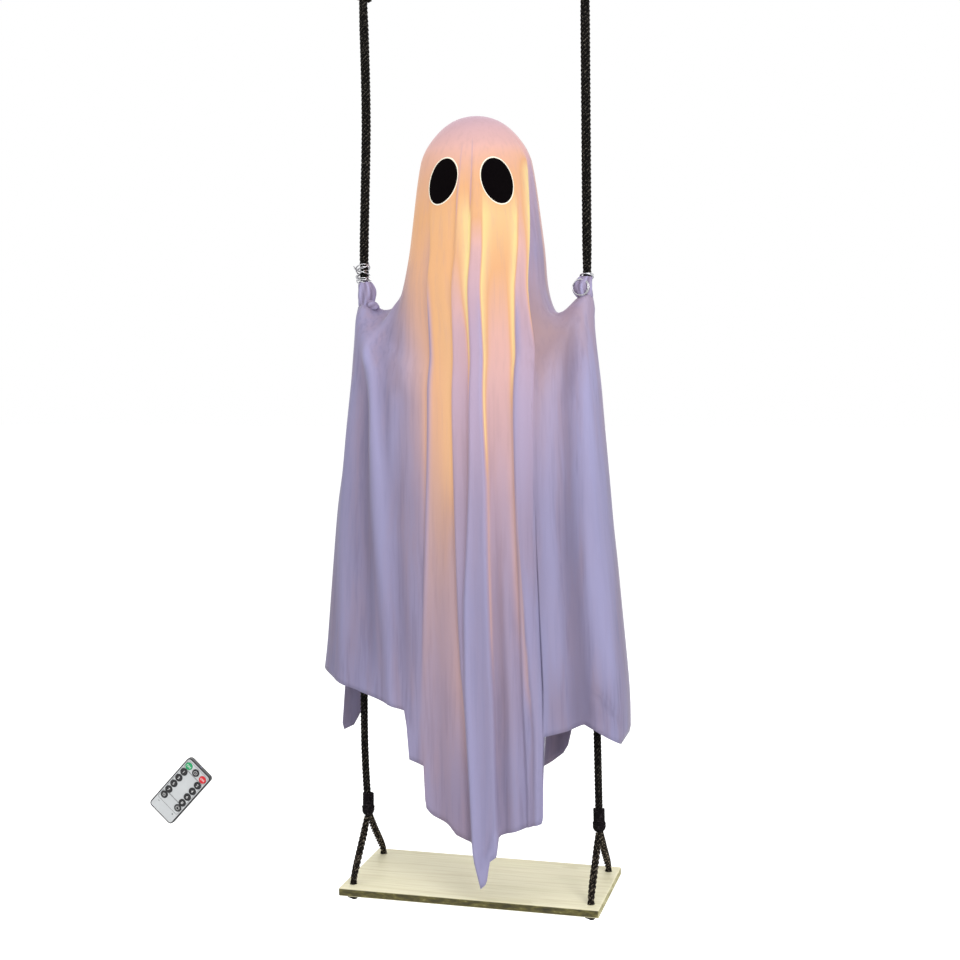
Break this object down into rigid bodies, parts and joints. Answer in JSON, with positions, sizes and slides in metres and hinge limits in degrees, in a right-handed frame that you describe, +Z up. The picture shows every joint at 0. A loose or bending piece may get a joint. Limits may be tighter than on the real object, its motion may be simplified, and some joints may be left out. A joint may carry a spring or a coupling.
{
  "type": "light-up ghost swing decoration",
  "caption": "Hanging sheet ghost lit from inside, its hands tied to the black ropes of a small wooden swing, with an infra-red remote.",
  "frame": {"origin": "midway between the two ceiling plates, on their top faces", "axes": "+Z up, -Y towards the viewer of the ghost's face, +X to that viewer's right"},
  "size_m": [0.6154, 0.1794, 1.148],
  "materials": {
    "steel": "zinc plated",
    "silver_wire": "bright wire",
    "black_rope": "twisted three-strand",
    "cloth": "thin woven, lit from inside",
    "black_felt": "matt felt",
    "pale_wood": "sanded, long grain",
    "frosted_plastic": "frosted",
    "warm_lamps": "clear insulation with warm lamps",
    "white_plastic": "moulded",
    "dark_plastic": "moulded",
    "silver_face": "printed film",
    "green_key": "moulded",
    "red_key": "moulded",
    "circuit_board": "lacquered",
    "clear_lens": "clear",
    "cell": "wrapped"
  },
  "bodies": {
    "hangers": {"hanger_left": "steel", "hanger_right": "steel", "hanger_screw_1": "silver_wire", "hanger_screw_2": "silver_wire", "hanger_screw_3": "silver_wire", "hanger_screw_4": "silver_wire"},
    "swing": {"rope_left": "black_rope", "rope_right": "black_rope", "eye_seizing_left": "black_rope", "eye_seizing_right": "black_rope", "tie_wire_left": "silver_wire", "tie_wire_right": "silver_wire", "hand_gather_left": "cloth", "hand_gather_right": "cloth", "split_knot_left": "black_rope", "split_knot_right": "black_rope"},
    "ghost": {"cloth": "cloth", "eye_left": "black_felt", "eye_right": "black_felt", "head_dome": "frosted_plastic", "spine_tube": "steel", "hub_clamp": "white_plastic", "arm_wire": "steel", "light_string": "warm_lamps", "battery_case": "white_plastic", "ir_receiver": "dark_plastic", "cell_1": "cell", "cell_2": "cell", "cell_3": "cell"},
    "case_cover": {"battery_cover": "white_plastic"},
    "case_button": {"power_button": "red_key"},
    "seat": {"seat_board": "pale_wood", "leg_rope_left_front": "black_rope", "leg_rope_left_back": "black_rope", "leg_rope_right_front": "black_rope", "leg_rope_right_back": "black_rope", "stop_knot_left_front": "black_rope", "stop_knot_left_back": "black_rope", "stop_knot_right_front": "black_rope", "stop_knot_right_back": "black_rope"},
    "remote": {"remote_case": "dark_plastic", "remote_face": "silver_face", "remote_board": "circuit_board", "remote_led": "clear_lens"},
    "on_key": {"key_on": "green_key"},
    "timer_key": {"key_timer": "dark_plastic"},
    "off_key": {"key_off": "red_key"},
    "mode_key_1": {"key_1": "dark_plastic"},
    "mode_key_2": {"key_2": "dark_plastic"},
    "mode_key_3": {"key_3": "dark_plastic"},
    "mode_key_4": {"key_4": "dark_plastic"},
    "mode_key_5": {"key_5": "dark_plastic"},
    "mode_key_6": {"key_6": "dark_plastic"},
    "mode_key_7": {"key_7": "dark_plastic"},
    "mode_key_8": {"key_8": "dark_plastic"},
    "dimmer_key": {"key_dimmer": "dark_plastic"},
    "brighter_key": {"key_brighter": "dark_plastic"},
    "coin_tray": {"cell_tray": "dark_plastic", "coin_cell": "silver_wire"}
  },
  "joints": [
    {"name": "swing_on_hangers", "type": "hinge", "parent": "hangers", "child": "swing", "pos_m": [0, 0, -0.026], "axis": [1, 0, 0], "range_deg": [-30, 30]},
    {"name": "ghost_rock", "type": "hinge", "parent": "swing", "child": "ghost", "pos_m": [0, 0, -0.45], "axis": [1, 0, 0], "range_deg": [-4, 4]},
    {"name": "seat_tilt", "type": "hinge", "parent": "swing", "child": "seat", "pos_m": [0, 0, -1.052], "axis": [1, 0, 0], "range_deg": [-10, 10]},
    {"name": "case_cover_slide", "type": "slide", "parent": "ghost", "child": "case_cover", "axis": [0, 0, -1], "range_m": [0, 0.062]},
    {"name": "case_button_press", "type": "slide", "parent": "ghost", "child": "case_button", "axis": [0, 1, 0], "range_m": [0, 0.001], "stiffness_N_per_m": 300},
    {"name": "remote_lift", "type": "slide", "parent": "hangers", "child": "remote", "axis": [0, 0, 1], "range_m": [0, 0.15]},
    {"name": "on_press", "type": "slide", "parent": "remote", "child": "on_key", "axis": [0, 1, 0], "range_m": [0, 0.0005], "stiffness_N_per_m": 200},
    {"name": "timer_press", "type": "slide", "parent": "remote", "child": "timer_key", "axis": [0, 1, 0], "range_m": [0, 0.0005], "stiffness_N_per_m": 200},
    {"name": "off_press", "type": "slide", "parent": "remote", "child": "off_key", "axis": [0, 1, 0], "range_m": [0, 0.0005], "stiffness_N_per_m": 200},
    {"name": "mode_1_press", "type": "slide", "parent": "remote", "child": "mode_key_1", "axis": [0, 1, 0], "range_m": [0, 0.0005], "stiffness_N_per_m": 200},
    {"name": "mode_2_press", "type": "slide", "parent": "remote", "child": "mode_key_2", "axis": [0, 1, 0], "range_m": [0, 0.0005], "stiffness_N_per_m": 200},
    {"name": "mode_3_press", "type": "slide", "parent": "remote", "child": "mode_key_3", "axis": [0, 1, 0], "range_m": [0, 0.0005], "stiffness_N_per_m": 200},
    {"name": "mode_4_press", "type": "slide", "parent": "remote", "child": "mode_key_4", "axis": [0, 1, 0], "range_m": [0, 0.0005], "stiffness_N_per_m": 200},
    {"name": "mode_5_press", "type": "slide", "parent": "remote", "child": "mode_key_5", "axis": [0, 1, 0], "range_m": [0, 0.0005], "stiffness_N_per_m": 200},
    {"name": "mode_6_press", "type": "slide", "parent": "remote", "child": "mode_key_6", "axis": [0, 1, 0], "range_m": [0, 0.0005], "stiffness_N_per_m": 200},
    {"name": "mode_7_press", "type": "slide", "parent": "remote", "child": "mode_key_7", "axis": [0, 1, 0], "range_m": [0, 0.0005], "stiffness_N_per_m": 200},
    {"name": "mode_8_press", "type": "slide", "parent": "remote", "child": "mode_key_8", "axis": [0, 1, 0], "range_m": [0, 0.0005], "stiffness_N_per_m": 200},
    {"name": "dimmer_press", "type": "slide", "parent": "remote", "child": "dimmer_key", "axis": [0, 1, 0], "range_m": [0, 0.0005], "stiffness_N_per_m": 200},
    {"name": "brighter_press", "type": "slide", "parent": "remote", "child": "brighter_key", "axis": [0, 1, 0], "range_m": [0, 0.0005], "stiffness_N_per_m": 200},
    {"name": "coin_tray_slide", "type": "slide", "parent": "remote", "child": "coin_tray", "axis": [-0.6769, 0, -0.7361], "range_m": [0, 0.022]}
  ]
}
